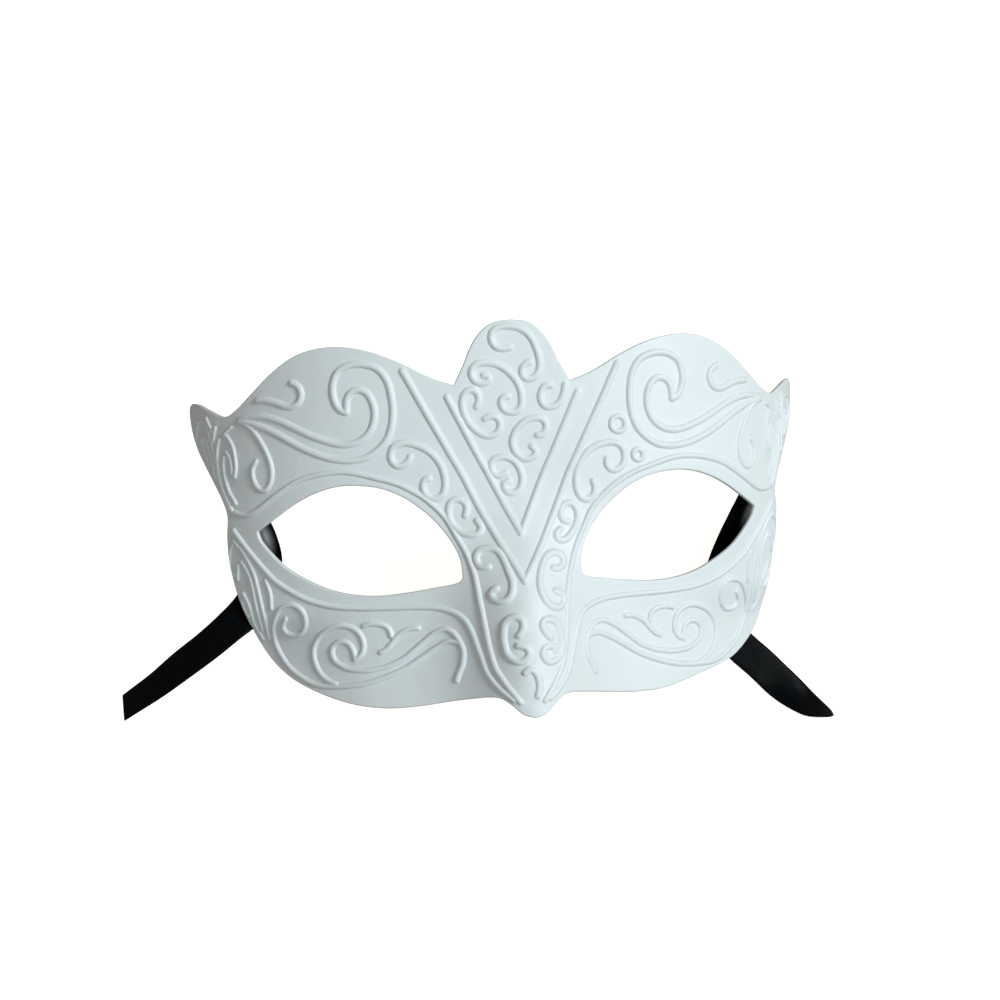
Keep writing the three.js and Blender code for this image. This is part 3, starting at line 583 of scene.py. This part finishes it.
def thinned(points, spacing):
    """The first point of each cell, on two grids half a cell apart."""
    for shift in (0, 0.5):
        cells = np.floor(points / spacing + shift).astype(np.int64)
        _, first = np.unique(cells, axis=0, return_index=True)
        points = points[np.sort(first)]
    return points


def kept_off(points, taken, spacing):
    """The points whose cell and its neighbours hold none of the taken ones."""
    many = 100000  # more cells than the chart has from top to bottom
    cell = np.floor(taken / spacing).astype(np.int64)
    full = np.unique(cell[:, 0] * many + cell[:, 1])
    here = np.floor(points / spacing).astype(np.int64)
    free = np.ones(len(points), bool)
    for dx in (-1, 0, 1):
        for dy in (-1, 0, 1):
            free &= ~np.isin((here[:, 0] + dx) * many + here[:, 1] + dy, full)
    return points[free]


def grid_points(step):
    """Rows of points over the whole chart, each row shifted by half a step from the last."""
    row_height = step * math.sqrt(0.75)
    rows = np.arange(-CHART_REACH, CHART_REACH, row_height)
    columns = np.arange(-HALF_ARC - step, HALF_ARC + step, step, dtype=float)
    across, up = np.meshgrid(columns, rows)
    across[1::2] += 0.5 * step
    return np.column_stack([across.ravel(), up.ravel()])


def triangulated(loops, inner):
    """Chart points, the loops' own first, and the triangles between them."""
    points = np.vstack([*loops, inner])
    edges = []
    first = 0
    for loop in loops:
        count = len(loop)
        edges += [(first + i, first + (i + 1) % count) for i in range(count)]
        first += count
    whole_hull = 0
    tolerance = 1e-5
    vectors = [Vector(point) for point in points]
    _, _, triangles, origins, *_ = geometry.delaunay_2d_cdt(
        vectors, edges, [], whole_hull, tolerance, True
    )
    own = np.array([min(origin) for origin in origins])
    triangles = own[np.array(triangles)]
    triangles = triangles[inside_loops(points[triangles].mean(axis=1), loops)]
    a, b, c = points[triangles[:, 0]], points[triangles[:, 1]], points[triangles[:, 2]]
    turn = (b[:, 0] - a[:, 0]) * (c[:, 1] - a[:, 1]) - (b[:, 1] - a[:, 1]) * (c[:, 0] - a[:, 0])
    triangles[turn < 0] = triangles[turn < 0][:, ::-1]
    return points, triangles


def filled_sheet(loops, close, step):
    """The chart between the loops in triangles: the close points, and a grid elsewhere."""
    close = close[inside_loops(close, loops)]
    grid = grid_points(step)
    grid = grid[inside_loops(grid, loops)]
    grid = kept_off(grid, np.vstack([close, *loops]), 0.5 * step)
    return triangulated(loops, np.vstack([close, grid]))


def front_sheet(loops, lines):
    edge_rows = rows_inside_edges(loops, FRONT_EDGE_ROWS)
    line_rows = rows_beside_lines(lines)
    line_rows = line_rows[inside_loops(line_rows, loops)]
    line_rows = line_rows[edge_distances(line_rows, loops) > LINE_TO_EDGE]
    close = thinned(np.vstack([edge_rows, line_rows]), FRONT_CLOSEST)
    return filled_sheet(loops, close, FRONT_GRID)


def back_sheet(loops):
    close = thinned(rows_inside_edges(loops, BACK_EDGE_ROWS), BACK_CLOSEST)
    return filled_sheet(loops, close, BACK_GRID)


# Shell


def sunk_at_edge(gaps):
    """How far a surface rounds off at each distance from the edge."""
    inner = np.clip(EDGE_ROUNDING - gaps, 0, EDGE_ROUNDING)
    return EDGE_ROUNDING - np.sqrt(EDGE_ROUNDING**2 - inner**2)


def signed_area(loop):
    x, y = loop.T
    return np.sum(x * np.roll(y, -1) - y * np.roll(x, -1)) / 2


def edge_faces(loops, offset):
    """Triangles that join the front's edges to the back's, whose points start at offset."""
    faces = []
    first = 0
    for number, loop in enumerate(loops):
        count = len(loop)
        here = first + np.arange(count)
        following = first + (np.arange(count) + 1) % count
        is_outline = number == 0
        if (signed_area(loop) > 0) != is_outline:
            here, following = following, here
        faces.append(np.column_stack([here, here + offset, following]))
        faces.append(np.column_stack([following, here + offset, following + offset]))
        first += count
    return faces


def mask_mesh():
    loops = [mask_outline(), *eye_holes()]
    lines = raised_lines()
    front, front_faces = front_sheet(loops, lines)
    back, back_faces = back_sheet(loops)

    gaps = edge_distances(front, loops)
    relief = relief_heights(front, lines) * smooth_step(gaps / EDGE_FADE)
    places = np.vstack([
        lying_points(front, relief - sunk_at_edge(gaps)),
        lying_points(back, sunk_at_edge(edge_distances(back, loops)) - WALL),
    ])
    offset = len(front)
    faces = [front_faces, back_faces[:, ::-1] + offset, *edge_faces(loops, offset)]
    return set_down(places), np.vstack(faces)


def set_down(places):
    """Lowers the shell on to z = 0, which takes REST_FLAT off its lowest places."""
    plain = lying_points(mask_outline(), -WALL)
    outer = lying_points(mask_outline(), 0)
    middle = (min(plain[:, 1].min(), outer[:, 1].min())
              + max(plain[:, 1].max(), outer[:, 1].max())) / 2
    drop = min(plain[:, 2].min(), outer[:, 2].min()) + REST_FLAT
    places = places - np.array([0, middle, drop])
    places[:, 2] = np.maximum(places[:, 2], 0)
    return places


# Meshes and ribbons


def mesh_object(name, places, faces, material):
    """A smooth-shaded object from points in millimetres, without unused points."""
    used = np.unique(np.concatenate([np.ravel(face) for face in faces]))
    renumber = np.zeros(len(places), int)
    renumber[used] = np.arange(len(used))
    mesh = bpy.data.meshes.new(name)
    points = (places[used] * MILLIMETRE).tolist()
    mesh.from_pydata(points, [], [renumber[np.array(face)].tolist() for face in faces])
    mesh.validate()
    mesh.shade_smooth()
    mesh.materials.append(material)
    made = bpy.data.objects.new(name, mesh)
    bpy.context.scene.collection.objects.link(made)
    return made


def ribbon_frames(route):
    """Even stations along a ribbon: middle, three directions and the distance from the start."""
    samples = 40
    route = np.array(route, float)
    before = 2 * route[0] - route[1]
    after = 2 * route[-1] - route[-2]
    padded = np.vstack([before, route, after])
    t = np.linspace(0, 1, samples, endpoint=False)[:, None]
    pieces = []
    for p, q, r, s in zip(padded, padded[1:], padded[2:], padded[3:]):
        dp, dq, dr = (math.sqrt(math.dist(a[:3], b[:3])) for a, b in ((p, q), (q, r), (r, s)))
        leave = ((q - p) / dp - (r - p) / (dp + dq) + (r - q) / dq) * dq
        arrive = ((r - q) / dq - (s - q) / (dq + dr) + (s - r) / dr) * dq
        square = 3 * (r - q) - 2 * leave - arrive
        cubic = 2 * (q - r) + leave + arrive
        pieces.append(q + leave * t + square * t**2 + cubic * t**3)
    dense = np.vstack(pieces + [route[-1:]])
    along = lengths_along(dense[:, :3])
    places = np.linspace(0, along[-1], round(along[-1] / RIBBON_STEP) + 1)
    even = np.column_stack([np.interp(places, along, column) for column in dense.T])
    middle = even[:, :3]
    forward = np.gradient(middle, axis=0)
    forward /= np.linalg.norm(forward, axis=1)[:, None]
    level = np.column_stack([-forward[:, 1], forward[:, 0], np.zeros(len(forward))])
    level /= np.linalg.norm(level, axis=1)[:, None]
    roll = np.radians(even[:, 3])[:, None]
    upward = np.cross(forward, level)
    sideways = level * np.cos(roll) + upward * np.sin(roll)
    return middle, forward, sideways, np.cross(forward, sideways), places


def tube_faces(stations, ring):
    """Faces of a closed tube with so many points in each station's ring, and its two ends."""
    faces = []
    for i in range(stations - 1):
        for k in range(ring):
            a = i * ring + k
            b = i * ring + (k + 1) % ring
            faces.append([a, b, b + ring, a + ring])
    start = list(range(ring))
    faces.append(start)
    faces.append([(stations - 1) * ring + k for k in reversed(start)])
    return faces


def ribbon(name, route, material, shape_end):
    """A flat ribbon with slightly rounded edges. shape_end gives, for each station's distance
    from the end, the two edges' places sideways, and the shift of an edge along the ribbon."""
    middle, forward, sideways, through, along = ribbon_frames(route)
    shares = np.linspace(-1, 1, RIBBON_COLUMNS)
    low, high, slant = shape_end(along[-1] - along)
    rows = []
    weave = []
    for face, order in ((1, shares), (-1, shares[::-1])):
        for share in order:
            place = low + (high - low) * (share + 1) / 2
            thinning = math.sqrt(1 + RIBBON_EDGE_REST - share**RIBBON_EDGE_POWER)
            thick = 0.5 * RIBBON_THICKNESS * thinning
            row = middle + sideways * place[:, None] + through * (face * thick)
            row = row + forward * (slant * place * 2 / RIBBON_WIDTH)[:, None]
            rows.append(row)
            weave.append(np.column_stack([along, place]))
    places = np.stack(rows, axis=1).reshape(-1, 3)
    made = mesh_object(name, places, tube_faces(len(middle), len(rows)), material)

    chart = np.stack(weave, axis=1).reshape(-1, 2)
    layer = made.data.uv_layers.new(name="weave")
    corners = np.array([loop.vertex_index for loop in made.data.loops])
    layer.data.foreach_set("uv", (chart[corners] / WEAVE_UNIT).ravel())
    return made, middle


def declare_ribbon(made, node):
    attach(made, "root")
    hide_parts(node)


def slanted_end(left):
    """Both edges straight, and the end cut at a slant."""
    half = RIBBON_WIDTH / 2
    slant = LEFT_END_SLANT * smooth_step(1 - left / LEFT_END_REACH)
    return np.full_like(left, -half), np.full_like(left, half), slant


def rounded_tip(left):
    """One edge straight and the other curving over to meet it in a narrow rounded tip."""
    half = RIBBON_WIDTH / 2
    taper = np.clip(1 - left / RIGHT_TIP_LENGTH, 0, 1) ** RIGHT_TIP_POWER
    rounding = np.sqrt(1 - np.clip(1 - left / RIGHT_TIP_ROUNDING, 0, 1) ** 2)
    middle = half * RIGHT_TIP_LEAN * taper
    reach = (half - middle) * (RIGHT_TIP_BLUNT + (1 - RIGHT_TIP_BLUNT) * rounding)
    return middle - reach, middle + reach, np.zeros_like(left)


# Camera


def add_camera():
    data = bpy.data.cameras.new("camera")
    data.sensor_width = CAMERA_SENSOR
    data.lens = CAMERA_LENS
    data.clip_start = 0.01
    camera = bpy.data.objects.new("camera", data)
    bpy.context.scene.collection.objects.link(camera)
    look = Vector(CAMERA_LOOK).normalized()
    right = look.cross(Vector(CAMERA_UP)).normalized()
    up = right.cross(look)
    turn = Matrix((right, up, -look)).transposed()
    place = Matrix.Translation(Vector(CAMERA_AT) * MILLIMETRE)
    camera.matrix_world = place @ turn.to_4x4()
    bpy.context.scene.camera = camera


# Materials


def new_material(name, colour, roughness, specular=0.5):
    material = bpy.data.materials.new(name)
    material.use_nodes = True
    shader = material.node_tree.nodes["Principled BSDF"]
    shader.inputs["Base Color"].default_value = (*colour, 1)
    shader.inputs["Roughness"].default_value = roughness
    shader.inputs["Specular IOR Level"].default_value = specular
    return material, material.node_tree, shader


def add_node(tree, kind, **settings):
    node = tree.nodes.new(kind)
    for name, value in settings.items():
        if name in node.inputs:
            node.inputs[name].default_value = value
        else:
            setattr(node, name, value)
    return node


def noise_at(tree, coordinates, scale, detail=2):
    noise = add_node(tree, "ShaderNodeTexNoise", Scale=scale, Detail=detail)
    tree.links.new(coordinates, noise.inputs["Vector"])
    return noise.outputs["Fac"]


def mixed_colours(tree, factor, low, high):
    """From low to high by factor; high is a colour, low a colour or a node's output."""
    mix = add_node(tree, "ShaderNodeMix", data_type="RGBA")
    low_socket, high_socket = (socket for socket in mix.inputs if socket.type == "RGBA")
    if isinstance(low, tuple):
        low_socket.default_value = (*low, 1)
    else:
        tree.links.new(low, low_socket)
    high_socket.default_value = (*high, 1)
    tree.links.new(factor, mix.inputs["Factor"])
    return next(socket for socket in mix.outputs if socket.type == "RGBA")


def raised_by(tree, height, strength, depth, under=None):
    """The surface's normal raised by a height, on top of the normal under it."""
    bump = add_node(tree, "ShaderNodeBump", Strength=strength, Distance=depth)
    tree.links.new(height, bump.inputs["Height"])
    if under is not None:
        tree.links.new(under, bump.inputs["Normal"])
    return bump.outputs["Normal"]


def mask_plastic():
    """White moulded plastic: faint clouds in its colour and a very fine uneven skin."""
    material, tree, shader = new_material(
        "mask_plastic", PLASTIC_PALE, PLASTIC_ROUGHEST, PLASTIC_SPECULAR
    )
    place = add_node(tree, "ShaderNodeTexCoord").outputs["Object"]

    clouds = noise_at(tree, place, CLOUD_SCALE)
    colour = mixed_colours(tree, clouds, PLASTIC_SHADE, PLASTIC_PALE)
    tree.links.new(colour, shader.inputs["Base Color"])

    gloss = add_node(tree, "ShaderNodeMapRange")
    gloss.inputs["To Min"].default_value = PLASTIC_SMOOTHEST
    gloss.inputs["To Max"].default_value = PLASTIC_ROUGHEST
    tree.links.new(noise_at(tree, place, GLOSS_SCALE), gloss.inputs["Value"])
    tree.links.new(gloss.outputs["Result"], shader.inputs["Roughness"])

    normal = None
    for layer in (SKIN, WAVES):
        height = noise_at(tree, place, layer["scale"], layer["detail"])
        normal = raised_by(tree, height, layer["strength"], layer["depth"], normal)
    tree.links.new(normal, shader.inputs["Normal"])
    return material


def painted_highlight_where_it_turns(tree, weave):
    """A soft pale spot painted into the colour where each ribbon turns over behind its eye hole: a
    painted highlight.
    """
    placed = add_node(tree, "ShaderNodeMapping")
    away = (-HIGHLIGHT_AT / HIGHLIGHT_LENGTH, -HIGHLIGHT_ASIDE / HIGHLIGHT_WIDTH, 0)
    placed.inputs["Location"].default_value = away
    placed.inputs["Scale"].default_value = (WEAVE_UNIT / HIGHLIGHT_LENGTH, WEAVE_UNIT / HIGHLIGHT_WIDTH, 1)
    tree.links.new(weave, placed.inputs["Vector"])
    highlight = add_node(tree, "ShaderNodeTexGradient", gradient_type="QUADRATIC_SPHERE")
    tree.links.new(placed.outputs["Vector"], highlight.inputs["Vector"])
    return highlight.outputs["Fac"]


def black_satin():
    """Black woven satin: fine slanting floats, broken up, painted with slightly lighter glints,
    and a painted highlight where it turns.
    """
    material, tree, shader = new_material(
        "black_satin", SATIN_BLACK, SATIN_ROUGHNESS, SATIN_SPECULAR
    )
    weave = add_node(tree, "ShaderNodeUVMap", uv_map="weave").outputs["UV"]

    turned = add_node(tree, "ShaderNodeMapping")
    turned.inputs["Rotation"].default_value = (0, 0, FLOAT_SLANT)
    tree.links.new(weave, turned.inputs["Vector"])
    wave = add_node(tree, "ShaderNodeTexWave", Scale=FLOAT_SCALE, Distortion=FLOAT_WANDER)
    tree.links.new(turned.outputs["Vector"], wave.inputs["Vector"])
    floats = wave.outputs["Fac"]

    # painted glints: the floats, broken up by noise, lighten the satin's colour
    painted_glint = add_node(tree, "ShaderNodeMath", operation="MULTIPLY")
    tree.links.new(floats, painted_glint.inputs[0])
    tree.links.new(noise_at(tree, weave, BREAK_SCALE, BREAK_DETAIL), painted_glint.inputs[1])

    colour = mixed_colours(tree, painted_glint.outputs[0], SATIN_BLACK, SATIN_PAINTED_GLINT)
    # painted highlight: the pale spot is mixed into the satin's colour where each ribbon turns
    # over
    colour = mixed_colours(tree, painted_highlight_where_it_turns(tree, weave), colour, SATIN_PAINTED_HIGHLIGHT)
    tree.links.new(colour, shader.inputs["Base Color"])
    tree.links.new(raised_by(tree, floats, **FLOAT_RELIEF), shader.inputs["Normal"])
    return material


# Studio


def add_floor():
    """A plain pale floor that gives off its own light and casts none on the mask."""
    material, _, shader = new_material("floor", FLOOR_COLOUR, FLOOR_ROUGHNESS)
    shader.inputs["Emission Color"].default_value = (*FLOOR_GLOW, 1)
    shader.inputs["Emission Strength"].default_value = 1
    corners = [(x, y, 0) for x, y in ((-1, -1), (1, -1), (1, 1), (-1, 1))]
    floor = mesh_object("floor", FLOOR_HALF * np.array(corners), [[0, 1, 2, 3]], material)
    floor.visible_diffuse = False
    floor.visible_glossy = False


def area_light(name, place, power, colour):
    """A round light that faces the frame's origin, where the mask lies."""
    data = bpy.data.lights.new(name, "AREA")
    data.shape = "DISK"
    data.size = LIGHT_SIZE
    data.energy = power
    data.color = colour
    light = bpy.data.objects.new(name, data)
    light.location = place
    light.rotation_euler = (-Vector(place)).to_track_quat("-Z", "Y").to_euler()
    bpy.context.scene.collection.objects.link(light)


def add_lights():
    area_light("key", **KEY_LIGHT)
    area_light("fill", **FILL_LIGHT)
    world = bpy.data.worlds.new("studio")
    world.use_nodes = True
    backdrop = world.node_tree.nodes["Background"]
    backdrop.inputs["Color"].default_value = (*SURROUNDINGS, 1)
    backdrop.inputs["Strength"].default_value = SURROUNDINGS_STRENGTH
    bpy.context.scene.world = world
    bpy.context.scene.view_settings.view_transform = "Standard"


# The object in its studio
add_camera()
satin = black_satin()
left_ribbon, left_middle = ribbon("left_tie", LEFT_ROUTE, satin, slanted_end)
right_ribbon, right_middle = ribbon("right_tie", RIGHT_ROUTE, satin, rounded_tip)
declare_ribbon(left_ribbon, "left_ribbon")
declare_ribbon(right_ribbon, "right_ribbon")

shell = mesh_object("carved_shell", *mask_mesh(), mask_plastic())
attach(shell, "root")
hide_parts("mask_shell")

add_floor()
add_lights()
